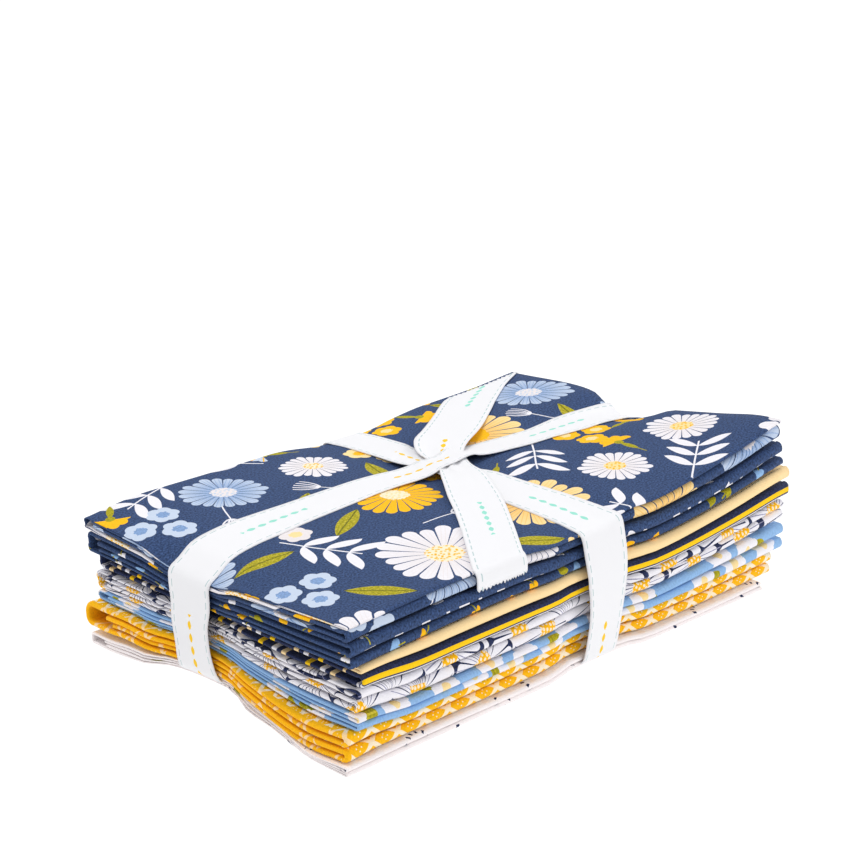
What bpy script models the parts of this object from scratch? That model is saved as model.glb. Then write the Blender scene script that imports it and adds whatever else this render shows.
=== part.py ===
"""A tied stack of seven folded cotton cuts.

Each cut is folded in half, then its two long ends are folded to the middle and it is shut like a
book, so it shows two fold noses at the front (-Y), one wide turn at the back (+Y), the folded
edges of four levels at the left (-X) and raw edges at the right (+X). One flat ribbon goes round
the stack lengthwise, crosses itself underneath, comes up crosswise and is knotted on top, with
two flat ends. The origin is at the middle of the underside, +Z is up, and all is in metres.
"""

import math
from collections import namedtuple

import bmesh
import bpy
from mathutils import Matrix, Vector

MM = 0.001
SHARP_ANGLE = math.radians(35)

# The folded cuts
LENGTH = 229 * MM
DEPTH = 147 * MM
HALF_LENGTH = LENGTH / 2
HALF_DEPTH = DEPTH / 2
FLAP_SHORT = 21 * MM  # the ends folded inside stop this far before the back turn
COTTON_ROUGHNESS = 0.9

# The ribbon
RIBBON_WIDTH = 23 * MM
RIBBON_THICK = 1.0 * MM
RIBBON_X = 9 * MM  # middle of the crosswise turn
RIBBON_Y = 12 * MM  # middle of the lengthwise turn
CLEAR = 0.4 * MM  # between the ribbon and what it lies on
STEP_OVER = RIBBON_THICK + CLEAR  # one turn of ribbon over the other
AWAY = CLEAR + RIBBON_THICK / 2  # from what it lies on to its middle
SIDE_AWAY = AWAY + 0.2 * MM  # and up the sides, where the cuts' ends slope a little
RIBBON_COLOUR = (0.91, 0.91, 0.92)
RIBBON_ROUGHNESS = 0.7
# Which way the ribbon faces at its points up a side, in degrees from level
SIDE_TURNS = (-90, -65, -45, -30, -20, -12, -6, -3, 0, 3, 6, 12, 20, 30, 45, 65, 90)

# How the ribbon sinks into the stack: flat this far from its middle, level again at the fade
SINK_FLAT = 13 * MM
SINK_FADE = 28 * MM
LONG_SINK = 2.0 * MM
LONG_SINK_EDGE = 2.5 * MM  # more, at the edges
CROSS_SINK = 2.2 * MM
CROSS_SINK_EDGE = 2.8 * MM
SINK_RUN = 30 * MM
UNDER_ROOM = 1.6 * MM  # the underside is raised over each turn of ribbon
LIFT_LEFT = 2.6 * MM  # the ribbon draws the underside up at the ends
LIFT_RIGHT = 1.2 * MM
LIFT_CROSS = 1.0 * MM
LIFT_RUN = 50 * MM
PULL_IN = 1.6 * MM  # and the edges of the cuts inwards
PULL_RUN = 0.2 * HALF_DEPTH  # as far in from the front and back as it is felt

# Height of the stack away from the ribbon, rows from left to right, columns from front to back
STACK_HEIGHT = (
    (49.0 * MM, 54.0 * MM, 53.0 * MM),
    (58.0 * MM, 58.5 * MM, 54.0 * MM),
    (70.0 * MM, 62.0 * MM, 57.5 * MM),
)

# The folds fan out from this far along, and from this far back, as shares of half the stack
FAN_FROM_X = -0.1
FAN_FROM_Y = 0.8

# One row for each cut, from the bottom up. Heights are of the folded cut, in the middle of the
# stack and at its right front corner, where the folds fan out. upper is the upper fold's share.
Cut = namedtuple("Cut", "name height corner_height upper sheet slide_x slide_y colour")
CUTS = (
    Cut("cut_cream_sprig", 5.6 * MM, 5.2 * MM, 0.54, 1.00 * MM, -4.0 * MM, -0.5 * MM, (0.83, 0.78, 0.76)),
    Cut("cut_yellow_trellis", 8.4 * MM, 10.4 * MM, 0.50, 1.25 * MM, -1.5 * MM, 1.5 * MM, (0.93, 0.50, 0.03)),
    Cut("cut_blue_daisy", 6.5 * MM, 11.4 * MM, 0.50, 1.00 * MM, 2.0 * MM, -1.2 * MM, (0.23, 0.42, 0.68)),
    Cut("cut_white_daisy", 9.0 * MM, 8.6 * MM, 0.40, 1.05 * MM, 2.6 * MM, -0.4 * MM, (0.90, 0.90, 0.93)),
    Cut("cut_stripe", 10.8 * MM, 14.2 * MM, 0.45, 1.50 * MM, 3.8 * MM, -1.4 * MM, (0.93, 0.67, 0.40)),
    Cut("cut_navy_tulip", 9.1 * MM, 11.2 * MM, 0.52, 1.40 * MM, 0.0 * MM, -0.2 * MM, (0.035, 0.052, 0.12)),
    Cut("cut_navy_floral", 8.4 * MM, 9.4 * MM, 0.40, 1.00 * MM, -1.0 * MM, 0.6 * MM, (0.042, 0.066, 0.15)),
)

# Places along the stack where every cut has a row of points
ALONG = tuple(v * MM for v in (-102, -80, -50, -19, -4, 22, 37, 64, 92))
ACROSS = tuple(v * MM for v in (-60, -40, -16, -1, 25, 40, 58))
ACROSS_INSIDE = tuple(v * MM for v in (-45, -16, -1, 25, 40))
NOSE_LENGTH = 1.1 * MM  # of a front fold, past half its sheet
NOSE_STEPS = 3
TURN_LENGTH = 2.4 * MM  # of the back turn, past half its sheet
TURN_STEPS = 4

# The knot and the ribbon's two ends
KNOT_SIZE = (28 * MM, 26 * MM, 4.0 * MM)
KNOT_SEAT = 0.7 * MM  # its room over the crossing, whose upper face slopes
KNOT_TURN = math.radians(20)
KNOT_DRAWN_IN = 0.8  # its corners, against its sides
END_BACK = ((10, 13), (32, 31), (50, 44), (68, 56), (92, 72))  # middle lines on the top, in mm
END_FRONT = ((9, 10), (1, -9), (-12, -31), (-28, -53), (-43, -72))
BACK_STOP = 72 * MM
FRONT_STOP = -73 * MM
EDGE_BEND = 1.6 * MM  # of the front end, over the edge
PINK_TEETH = 8
PINK_DEPTH = 2.0 * MM
PINK_ROOT = 0.3  # the teeth start this share of their depth out from the straight line


def smooth(t):
    """0 below 0, 1 above 1, and an even bend between."""
    t = min(max(t, 0.0), 1.0)
    return t * t * (3 - 2 * t)


def band(away):
    """How much of the ribbon's sink is felt this far from its middle."""
    return 1 - smooth((abs(away) - SINK_FLAT) / (SINK_FADE - SINK_FLAT))


def through_three(t, low, mid, high):
    """A parabola through three heights at t = -1, 0 and 1."""
    return low * t * (t - 1) / 2 + mid * (1 - t * t) + high * t * (t + 1) / 2


def level_top(x, y):
    """Height of the stack if no ribbon sank into it."""
    rows = [through_three(y / HALF_DEPTH, *row) for row in STACK_HEIGHT]
    return through_three(x / HALF_LENGTH, *rows)


def ramp(away, half, run):
    """0 in the middle, rising evenly to 1 over the last run before the edge."""
    return max((abs(away) - half + run) / run, 0.0)


def top(x, y):
    """Height of the stack, sunk under the ribbon, and deeper near the edges."""
    long_sink = LONG_SINK + LONG_SINK_EDGE * ramp(x, HALF_LENGTH, SINK_RUN)
    cross_sink = CROSS_SINK + CROSS_SINK_EDGE * ramp(y, HALF_DEPTH, SINK_RUN)
    return level_top(x, y) - long_sink * band(y - RIBBON_Y) - cross_sink * band(x - RIBBON_X)


def lift_long(x):
    """How far the lengthwise turn draws the underside up."""
    return (LIFT_LEFT if x < 0 else LIFT_RIGHT) * ramp(x, HALF_LENGTH, LIFT_RUN)


def lift_cross(y):
    return LIFT_CROSS * ramp(y, HALF_DEPTH, LIFT_RUN)


def underside(x, y):
    over_long = (UNDER_ROOM + lift_long(x)) * band(y - RIBBON_Y)
    return over_long + (UNDER_ROOM + lift_cross(y)) * band(x - RIBBON_X)


def fan(x, y):
    """1 at the right front corner, where the folds fan out, and 0 over the rest."""
    along = (x / HALF_LENGTH - FAN_FROM_X) / (1 - FAN_FROM_X)
    forward = (FAN_FROM_Y - y / HALF_DEPTH) / (FAN_FROM_Y + 1)
    return smooth(along) * smooth(forward)


def cut_floor_and_height(index, x, y):
    """Where the underside of a cut lies at a place, and how high the folded cut is there."""
    share = fan(x, y)
    heights = [cut.height + (cut.corner_height - cut.height) * share for cut in CUTS]
    room = top(x, y) - underside(x, y) - heights[0]
    scale = room / sum(heights[1:])
    heights = [heights[0]] + [height * scale for height in heights[1:]]
    return underside(x, y) + sum(heights[:index]), heights[index]


def cloth_top(x, y):
    """The upper face of the highest cut."""
    cut = CUTS[-1]
    floor, height = cut_floor_and_height(len(CUTS) - 1, x, y)
    return floor + height * (1 - cut.upper / 2) + cut.sheet


def fold_path(cut):
    """The folded cut's middle line seen from its side, from one inner end to the other, as
    (y, share of the lower fold's height, share of the upper fold's height)."""
    front = -HALF_DEPTH + cut.slide_y + cut.sheet / 2
    back = HALF_DEPTH + cut.slide_y - cut.sheet / 2
    nose = NOSE_LENGTH + cut.sheet / 2
    turn = TURN_LENGTH + cut.sheet / 2
    inside = [back - FLAP_SHORT, *reversed(ACROSS_INSIDE)]
    path = [(y, 1.0, 0.0) for y in inside]
    for step in range(NOSE_STEPS + 1):
        angle = math.pi * step / NOSE_STEPS
        path.append((front + nose * (1 - math.sin(angle)), 1.0, (1 - math.cos(angle)) / 4))
    path += [(y, 1.0, 0.5) for y in ACROSS]
    for step in range(TURN_STEPS + 1):
        angle = math.pi * step / TURN_STEPS
        down = (1 + math.cos(angle)) / 2
        path.append((back - turn + turn * math.sin(angle), down, down / 2))
    path += [(y, 0.0, 0.0) for y in reversed(ACROSS)]
    for step in range(NOSE_STEPS + 1):
        angle = math.pi * step / NOSE_STEPS
        path.append((front + nose * (1 - math.sin(angle)), (1 - math.cos(angle)) / 4, 0.0))
    return path + [(y, 0.5, 0.0) for y in reversed(inside)]


def end_of(cut, side, y):
    """Where a cut ends along X, drawn in where the lengthwise turn presses on it."""
    return cut.slide_x + side * (HALF_LENGTH - PULL_IN * band(y - RIBBON_Y))


def drawn_in(x, y):
    """A place near the front or back edge, drawn in by the crosswise turn."""
    near_edge = smooth(ramp(y, HALF_DEPTH, PULL_RUN))
    return y - math.copysign(PULL_IN * near_edge * band(x - RIBBON_X), y)


def material(name, colour, roughness):
    made = bpy.data.materials.new(name)
    made.use_nodes = True
    shader = made.node_tree.nodes["Principled BSDF"]
    shader.inputs["Base Color"].default_value = (*colour, 1.0)
    shader.inputs["Roughness"].default_value = roughness
    shader.inputs["Metallic"].default_value = 0.0
    return made


def new_object(name, graph, collection, finish):
    mesh = bpy.data.meshes.new(name)
    bmesh.ops.recalc_face_normals(graph, faces=graph.faces)
    graph.to_mesh(mesh)
    graph.free()
    mesh.shade_smooth()
    mesh.set_sharp_from_angle(angle=SHARP_ANGLE)
    made = bpy.data.objects.new(name, mesh)
    made.data.materials.append(finish)
    collection.objects.link(made)
    return made


def thicken(made, thickness):
    wall = made.modifiers.new("Thickness", "SOLIDIFY")
    wall.thickness = thickness
    wall.offset = 0.0
    wall.use_even_offset = True


def sheet_from_rows(rows, closed=False):
    """An open surface through rows of points. Each square is split the same way on the ground,
    so sheets that lie on each other bend alike."""
    graph = bmesh.new()
    grid = [[graph.verts.new(point) for point in row] for row in rows]
    if closed:
        grid.append(grid[0])
    for row, following in zip(grid, grid[1:]):
        for k in range(len(row) - 1):
            near, far, across, beside = row[k], row[k + 1], following[k + 1], following[k]
            if across.co.y >= far.co.y:
                graph.faces.new((near, far, across))
                graph.faces.new((near, across, beside))
            else:
                graph.faces.new((near, far, beside))
                graph.faces.new((far, across, beside))
    return graph


def folded_cut(index, collection):
    cut = CUTS[index]
    rows = []
    for y, lower, upper in fold_path(cut):
        row = []
        for x in (end_of(cut, -1, y), *ALONG, end_of(cut, 1, y)):
            at = drawn_in(x, y)
            floor, height = cut_floor_and_height(index, x, at)
            rise = lower * (1 - cut.upper) * height + upper * cut.upper * height
            row.append(Vector((x, at, floor + rise + cut.sheet / 2)))
        rows.append(row)
    cotton = material(cut.name, cut.colour, COTTON_ROUGHNESS)
    made = new_object(cut.name, sheet_from_rows(rows), collection, cotton)
    thicken(made, cut.sheet)
    return made


def up_the_side(end_at, ground):
    """The ribbon's way up one side of the stack, seen edge on, as taut as it can be. end_at gives
    where a cut ends, and ground the point of the ground at a place."""
    touched = []
    for index, cut in enumerate(CUTS):
        end = end_at(cut)
        floor, height = cut_floor_and_height(index, *ground(end))
        touched += [(abs(end), floor), (abs(end), floor + height - CLEAR)]
    path = []
    for degrees in SIDE_TURNS:
        out, up = math.cos(math.radians(degrees)), math.sin(math.radians(degrees))
        reach = max(touched, key=lambda point: point[0] * out + point[1] * up)
        path.append((reach[0] + SIDE_AWAY * out, reach[1] + SIDE_AWAY * up))
    return path


def lengthwise_edge(y):
    """The lengthwise turn along one of its edges, round from the middle of the underside."""
    def ground(x):
        return x, y

    right = up_the_side(lambda cut: end_of(cut, 1, y), ground)
    left = up_the_side(lambda cut: end_of(cut, -1, y), ground)
    path = [(x, UNDER_ROOM + lift_long(x) - AWAY) for x in ALONG] + right
    path += [(x, cloth_top(x, y) + AWAY) for x in reversed(ALONG)]
    path += [(-x, z) for x, z in reversed(left)]
    return [Vector((x, y, z)) for x, z in path]


def crosswise_edge(x):
    """The crosswise turn along one of its edges. It passes over the lengthwise turn, on top and
    underneath."""
    def ground(y):
        return x, y

    back = up_the_side(lambda cut: cut.slide_y + HALF_DEPTH - PULL_IN, ground)
    front = up_the_side(lambda cut: cut.slide_y - HALF_DEPTH + PULL_IN, ground)
    over = [(y, STEP_OVER * band(y - RIBBON_Y)) for y in ACROSS]
    path = [(y, UNDER_ROOM + lift_cross(y) - AWAY + step) for y, step in over] + back
    path += [(y, cloth_top(x, y) + AWAY + step) for y, step in reversed(over)]
    path += [(-y, z) for y, z in reversed(front)]
    return [Vector((x, y, z)) for y, z in path]


def ribbon_turn(name, edges, collection, finish):
    made = new_object(name, sheet_from_rows(list(zip(*edges)), closed=True), collection, finish)
    thicken(made, RIBBON_THICK)
    return made


def free_end_height(x, y):
    """A free end lies at the stack's height away from the ribbon, bridging where that sinks."""
    return cloth_top(x, y) + level_top(x, y) - top(x, y) + AWAY + CLEAR / 2


def pinked(first, last, out):
    """A saw-toothed cut beside the line from first to last, its teeth as long as out."""
    points = []
    for corner in range(2 * PINK_TEETH + 1):
        at = first.lerp(last, corner / (2 * PINK_TEETH))
        points.append(at + out * (PINK_ROOT if corner % 2 else PINK_ROOT + 1))
    return points


def free_end(name, middle, stop, over_edge, finish):
    """A free end of ribbon along its middle line on the top of the stack. Its saw-toothed cut
    follows the stack's own edge, at stop, or hangs just over that edge."""
    line = [Vector((x * MM, y * MM)) for x, y in middle]
    rows = []
    for before, at, after in zip([line[0], *line], line, [*line[1:], line[-1]]):
        run = (after - before).normalized()
        aside = Vector((-run.y, run.x)) * RIBBON_WIDTH / 2
        pair = [at - aside, at + aside]
        if at is line[-1]:
            pair = [point + run * (stop - point.y) / run.y for point in pair]
        rows.append([Vector((*point, free_end_height(*point))) for point in pair])
    out = Vector((0, math.copysign(PINK_DEPTH, stop), 0))
    if over_edge:
        rows.append([point + Vector((0, -EDGE_BEND, -EDGE_BEND)) for point in rows[-1]])
        out = Vector((0, 0, -PINK_DEPTH))
    graph = sheet_from_rows(rows)
    graph.verts.ensure_lookup_table()
    first, last = graph.verts[-2], graph.verts[-1]
    teeth = [graph.verts.new(point) for point in pinked(last.co, first.co, out)]
    graph.faces.new((first, last, *teeth))
    made = new_object(name, graph, bpy.data.collections["joined_pieces"], finish)
    thicken(made, RIBBON_THICK)
    made.hide_render = True
    made.display_type = "WIRE"
    return made


def knot(collection, finish):
    """The flat knot over the crossing, in one piece with the ribbon's two free ends."""
    crossing_top = cloth_top(RIBBON_X, RIBBON_Y) + 2 * STEP_OVER
    graph = bmesh.new()
    bmesh.ops.create_cube(graph, size=1.0)
    bmesh.ops.subdivide_edges(graph, edges=graph.edges, cuts=1, use_grid_fill=True)
    corners = [vert for vert in graph.verts if vert.co.x and vert.co.y]
    bmesh.ops.scale(graph, vec=(KNOT_DRAWN_IN, KNOT_DRAWN_IN, 1), verts=corners)
    bmesh.ops.scale(graph, vec=KNOT_SIZE, verts=graph.verts)
    bmesh.ops.rotate(graph, matrix=Matrix.Rotation(KNOT_TURN, 3, "Z"), verts=graph.verts)
    middle = Vector((RIBBON_X, RIBBON_Y, crossing_top + KNOT_SEAT + KNOT_SIZE[2] / 2))
    bmesh.ops.translate(graph, vec=middle, verts=graph.verts)
    made = new_object("ribbon_knot_and_ends", graph, collection, finish)
    soft = made.modifiers.new("Soft", "SUBSURF")
    soft.levels = soft.render_levels = 2
    ends = (
        free_end("back_end", END_BACK, BACK_STOP, False, finish),
        free_end("front_end", END_FRONT, FRONT_STOP, True, finish),
    )
    for end in ends:
        join = made.modifiers.new(end.name, "BOOLEAN")
        join.operation = "UNION"
        join.object = end
    return made


def build():
    for thing in list(bpy.data.objects):
        bpy.data.objects.remove(thing, do_unlink=True)
    for name in ("tied_cloth_stack", "joined_pieces"):
        bpy.context.scene.collection.children.link(bpy.data.collections.new(name))
    collection = bpy.data.collections["tied_cloth_stack"]
    for index in range(len(CUTS)):
        folded_cut(index, collection)
    white = material("ribbon", RIBBON_COLOUR, RIBBON_ROUGHNESS)
    half = RIBBON_WIDTH / 2
    long_edges = [lengthwise_edge(RIBBON_Y + side * half) for side in (-1, 1)]
    cross_edges = [crosswise_edge(RIBBON_X + side * half) for side in (-1, 1)]
    ribbon_turn("ribbon_lengthwise", long_edges, collection, white)
    ribbon_turn("ribbon_crosswise", cross_edges, collection, white)
    knot(collection, white)


build()
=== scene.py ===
import math
import random
from collections import namedtuple

import bpy
import numpy as np
from mathutils import Matrix, Vector


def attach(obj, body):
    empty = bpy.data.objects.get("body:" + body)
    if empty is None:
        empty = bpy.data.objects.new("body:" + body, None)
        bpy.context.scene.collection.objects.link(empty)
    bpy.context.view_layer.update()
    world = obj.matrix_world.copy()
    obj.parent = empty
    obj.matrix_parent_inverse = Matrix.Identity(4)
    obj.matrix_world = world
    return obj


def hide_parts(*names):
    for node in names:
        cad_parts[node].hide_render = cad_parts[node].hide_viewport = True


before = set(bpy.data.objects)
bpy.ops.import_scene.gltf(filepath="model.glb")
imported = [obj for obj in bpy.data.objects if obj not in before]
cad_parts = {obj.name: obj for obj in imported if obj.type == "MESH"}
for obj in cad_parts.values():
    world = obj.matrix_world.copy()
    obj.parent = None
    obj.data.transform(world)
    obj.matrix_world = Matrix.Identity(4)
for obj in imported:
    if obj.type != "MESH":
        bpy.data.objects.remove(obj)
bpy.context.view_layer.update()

MM = 0.001

# The folded stack, as in the solids. Sizes are in metres, x runs along the stack and y across it
HALF_LENGTH = 229 * MM / 2
HALF_DEPTH = 147 * MM / 2
# How high the top would stand without the ribbon, in mm: one row for each place along the stack,
# and in it one height for each place across
PLACES_ALONG = (-114, -92, -72, -33, 9, 43, 66, 90, 114)
PLACES_ACROSS = (-73.5, -62, -45, 0, 40, 73.5)
TOP_HEIGHTS = (
    (54.4, 53.6, 52.7, 53.0, 53.0, 51.2),
    (55.9, 55.2, 54.4, 54.4, 53.8, 53.6),
    (56.8, 56.2, 55.6, 55.4, 54.2, 53.2),
    (56.5, 57.0, 57.2, 56.6, 54.6, 52.4),
    (57.4, 57.6, 57.8, 56.6, 54.5, 52.6),
    (58.4, 58.4, 58.4, 57.2, 54.8, 52.4),
    (61.6, 61.2, 60.4, 58.0, 56.0, 52.6),
    (65.5, 65.0, 62.4, 58.4, 57.0, 53.2),
    (71.0, 70.4, 66.6, 59.0, 58.4, 55.2),
)
TABLE_STEP = 2 * MM
TABLE_EDGE = (-124 * MM, -84 * MM)
TABLE_SOFTENED = 24  # times

# The ribbon's place on the stack
RIBBON_WIDTH = 23 * MM
RIBBON_X = 9 * MM
RIBBON_Y = 12 * MM
LEFT_BACK = 2.4 * MM  # how far further back the lengthwise turn lies on the left of the top
KNOT_BACK = 4.4 * MM  # and just right of the knot
END_VEER = 5.3 * MM  # how far it veers to the front at the right end
CROSS_VEER = 3.0 * MM  # how far the crosswise turn veers to the right at the back

# How the ribbon presses the top down, with pairs for the left and the right end
SINK_FLAT = 13 * MM
SINK_FADE = 28 * MM
LONG_SINK = (0.5 * MM, 2.1 * MM)
LONG_SINK_EDGE = (3.0 * MM, 4.2 * MM)
LONG_ROUND = (4.4 * MM, 1.6 * MM)
CROSS_FLAT = 6 * MM
CROSS_FADE_LEFT = 40 * MM
CROSS_FADE_RIGHT = (36 * MM, 12 * MM)  # in the middle, and how much more it is at the back
CROSS_ASIDE = (3.5 * MM, 5.0 * MM)  # how far its sink slants at the back and at the front
CROSS_SINK = 1.9 * MM
CROSS_SINK_EDGE = (0.2 * MM, 0.6 * MM)  # towards the back and towards the front
CROSS_ROUND = 1.0 * MM
SINK_RUN = 30 * MM
EDGE_RUN = 12 * MM  # how far from an edge the ribbon starts to round it off
RIGHT_NOTCH = (3 * MM, 7 * MM, 6 * MM)  # the sink's shift, narrowing and shorter fade there
TAIL = 75 * MM

# How it draws the underside up and the sides in
UNDER_ROOM = 0.9 * MM
LIFT_LEFT = 4.6 * MM
LIFT_SPREAD = 54 * MM
LIFT_RIGHT = 1.2 * MM
LIFT_CROSS = 0.3 * MM
LIFT_RUN = 50 * MM
PULL_IN = 1.6 * MM

# The left ends of the cuts. Each is tucked in by the ribbon, from the bottom up
TUCKED = (5.5 * MM, 4.5 * MM, 2.6 * MM, 1.2 * MM, 0.3 * MM, 0.0, 0.0)
TUCK_MIDDLE = 7 * MM
TUCK_REACH = (26 * MM, 30 * MM)  # towards the back and towards the front
DROOP_FRONT = 2.0 * MM  # how far the low cuts droop at the front
GAPE_BACK = 3.0 * MM  # and gape at the back
SAG_BACK = 1.6 * MM  # how far the lowest cut sags behind the ribbon
SAG_FRONT = 4.0 * MM  # and before it
LOW_THIN = 0.30  # the share by which its left back corner is thinner
LOW_SHORT = 5.5 * MM  # how much shorter it is at the right front corner
SAG_MOST = 0.88  # the most that it sags, as a share of its height above the table
RAGGED_LEFT = 0.55 * MM  # how unevenly every cut ends at the left
RAGGED_RIGHT = 0.7 * MM  # and at the right
RAGGED_ACROSS = 0.5 * MM  # and at the front and the back
SLACK_VARIES = 0.10
STRIPE_TAPER = 0.16  # the share by which the striped cut's upper fold tapers

# The flat cuts of cotton, before folding
CUT_FLAT = (457 * MM, 559 * MM)
NEST = 0.90  # half the way between the two plies of a doubled level, in thicknesses of the cloth
CREVICE = 0.09 * MM  # left between one fold and the next
END_FOLD = 1.5 * MM  # half of the cloth that goes round the fold at the left end
END_FOLD_REACH = 6.0 * MM  # how far in that fold still keeps the plies apart
END_FOLD_POINTS = 9  # round that fold, with the two where it meets the plies

# One row for each cut, from the bottom up. Its height is given at the middle, at the fanned right
# front corner and at the left end. upper is the upper fold's share of the height, slide_x and
# slide_y how far the cut is slid over, short how far from the back turn the ends folded inside
# stop and ply how thick the cloth is. turn is how far the back turn bulges as a share of the
# height, slack how full the fold at the left end is, and along and across are how many squares
# of mesh a level has
Cut = namedtuple("Cut", "name height corner_height left_height upper slide_x slide_y short ply "
                 "turn slack along across")


def cut_row(name, heights, upper, places, turn, slack=0.58, squares=(40, 30)):
    """A cut from sizes in mm: its heights, and its slides, short and ply."""
    lengths = [length * MM for length in (*heights, *places)]
    return Cut(name, *lengths[:3], upper, *lengths[3:], turn, slack, *squares)


CUTS = (
    cut_row("cream_sprig", (4.8, 4.0, 4.2), 0.54, (-4.0, -0.5, 5, 0.26), 0.25),
    cut_row("yellow_trellis", (9.0, 10.4, 11.0), 0.50, (-1.5, 1.5, 10, 0.40), 0.40, slack=0.70),
    cut_row("blue_daisy", (5.8, 12.4, 5.6), 0.50, (2.0, -1.2, 4, 0.40), 0.18),
    cut_row("white_daisy", (9.2, 8.4, 8.6), 0.42, (2.6, -0.4, 3, 0.40), 0.14),
    cut_row("stripe", (11.2, 14.4, 7.8), 0.45, (3.8, -1.4, 3, 0.40), 0.14),
    cut_row("navy_tulip", (9.2, 11.2, 9.2), 0.60, (0.0, -0.2, 3, 0.36), 0.12),
    cut_row("navy_floral", (6.6, 9.0, 5.4), 0.19, (-1.0, 0.6, 3, 0.24), 0.12, squares=(72, 46)),
)

# The ribbon itself
TAPE = 0.35 * MM
TAPE_OFF = 0.35 * MM  # from the cloth to the ribbon's middle
TAPE_OVER = 0.6 * MM  # one turn over the other
TAPE_UNDER = 0.25 * MM  # from the table to the ribbon's middle, where it isn't drawn up
SIDE_OFF = 0.9 * MM  # how far it stands off the sides
BEND_OUT = 2.3 * MM  # how far it stands off the bends over the top edges
BOW_LEFT = 0.8 * MM
BOW_FRONT = 2.6 * MM
TOP_ONLY = 35 * MM  # above this height the ribbon is on the top or near it
TAPE_ACROSS = 12  # squares of mesh
LONG_POINTS = 230
CROSS_POINTS = 180
SIDE_POINTS = 60
TAPE_SOFTENED = 5  # times
LONG_PLACES = [v * MM for v in (*range(-108, -90, 3), *range(-90, 91, 6), *range(93, 109, 3))]
CROSS_PLACES = [v * MM for v in range(-67, 68, 4)]
# How wide the pressed and pinched turns are, as shares of the ribbon, at places in mm along the
# top and along the underside
LONG_WIDTHS = ((-82, 1.0), (-62, 0.90), (-42, 0.85), (-30, 0.80), (-12, 0.74), (0, 0.66), (9, 0.52),
               (17, 0.54), (26, 0.68), (34, 0.71), (48, 0.70), (64, 0.66), (80, 0.82), (117, 0.76))
CROSS_WIDTHS = ((-73, 0.95), (-44, 0.94), (-30, 0.90), (-14, 0.84), (0, 0.70), (8, 0.58), (16, 0.60),
                (26, 0.76), (40, 0.79), (73, 0.80))
LONG_UNDER = ((40, 1.0), (85, 0.76), (117, 0.74))
CROSS_UNDER = ((-73, 0.97), (0, 0.97), (40, 0.80))

# The knot and the free ends
KNOT_LIFT = 1.5 * MM  # how high both turns are drawn up at the knot
KNOT_REACH = 26 * MM
KNOT_BAR = 2.7 * MM  # how far the lengthwise turn rises further to pass over the knot
KNOT_BAR_HALF = (9 * MM, 18 * MM)  # half of the bar that is fully up, and half with its slopes
KNOT_BAR_X = 14.5 * MM
KNOT_HEIGHT = 0.9 * MM
PLEAT = 0.35 * MM
# The run of ribbon from one free end over the knot to the other, and how far it reaches to the
# left and to the right of its middle, as shares of the ribbon, at distances in mm from the knot
TIE_LINE = ((92, 70), (68, 55.5), (49, 42.5), (33, 32), (20.5, 23), (13, 12), (8.5, 2.5), (0, -12),
            (-12.5, -32), (-27, -52), (-43, -73))
TIE_LEFT = ((-98, 0.48), (-88, 0.52), (-60, 0.51), (-32, 0.53), (-23, 0.57), (-14, 0.48), (-5, 0.31),
            (4, 0.21), (14, 0.30), (23, 0.37), (42, 0.45), (70, 0.47), (98, 0.50))
TIE_RIGHT = ((-98, 0.48), (-88, 0.40), (-60, 0.49), (-42, 0.49), (-32, 0.46), (-14, 0.36), (5, 0.36),
             (14, 0.39), (42, 0.42), (70, 0.38), (98, 0.36))
TIE_POINTS = 130
TIE_SOFTENED = 30  # times
BACK_STOP = 70 * MM
FRONT_STOP = -72.6 * MM
HANGING = (0.3, 0.9, 1.9, 3.3, 5.0, 6.8)  # mm that the front end's last rows hang over the edge
HANG_OUT = 2.2 * MM
END_COLUMNS = 33
PINK_DEPTH = 0.9 * MM  # of the saw-toothed cut

# The prints. Lengths are in mm of flat cloth
THREAD_PITCH = 0.42
FLORAL_REPEAT = (236, 178)
DAISY_SIZES = (13.5, 12.0, 0.62)  # the smallest radius, how much larger at most, and a step

# The light, the table and the camera, which stands where the photo was taken from, as worked out
# from the stack's edges. Turns are in degrees
LIGHT_AROUND = 0.66
TABLE_SIZE = 12.0
TABLE_GREY = (0.30, 0.30, 0.30, 1)
TABLE_GLOW = 0.85
CAMERA_ROUND = (0, 0, 0.03)  # the place that it circles
CAMERA_TURN = -44.367
CAMERA_HIGH = 22.72
CAMERA_AWAY = 0.8523
AIM_TURN = 0.343  # how far it looks past that place
AIM_DROP = -2.826
SENSOR = 36
FOCAL_PIXELS = 2200
PHOTO_PIXELS = 864


def smooth(t):
    t = np.clip(t, 0.0, 1.0)
    return t * t * (3 - 2 * t)


def rise(place, start, run):
    """From 0 at the start to 1 after the run, both in mm."""
    return smooth((place - start * MM) / (run * MM))


def bump(place, middle, reach, power=2):
    """From 1 at the middle down towards 0 past the reach, both in mm."""
    return np.exp(-(((place - middle * MM) / (reach * MM)) ** power))


def run_y(x):
    """The middle of the lengthwise turn."""
    on_left = rise(x, -113, 16) * rise(-x, -10, 24)
    by_knot = bump(x, 28, 19) * rise(x, 6, 18)
    return RIBBON_Y + LEFT_BACK * on_left + KNOT_BACK * by_knot - END_VEER * rise(x, 20, 90)


def run_x(y):
    """The middle of the crosswise turn."""
    return RIBBON_X + CROSS_VEER * rise(y - RIBBON_Y, 0, 50)


def band(away, fade=SINK_FADE):
    """How much of the ribbon's sink is felt this far from its middle."""
    return 1 - smooth((abs(away) - SINK_FLAT) / (fade - SINK_FLAT))


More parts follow.
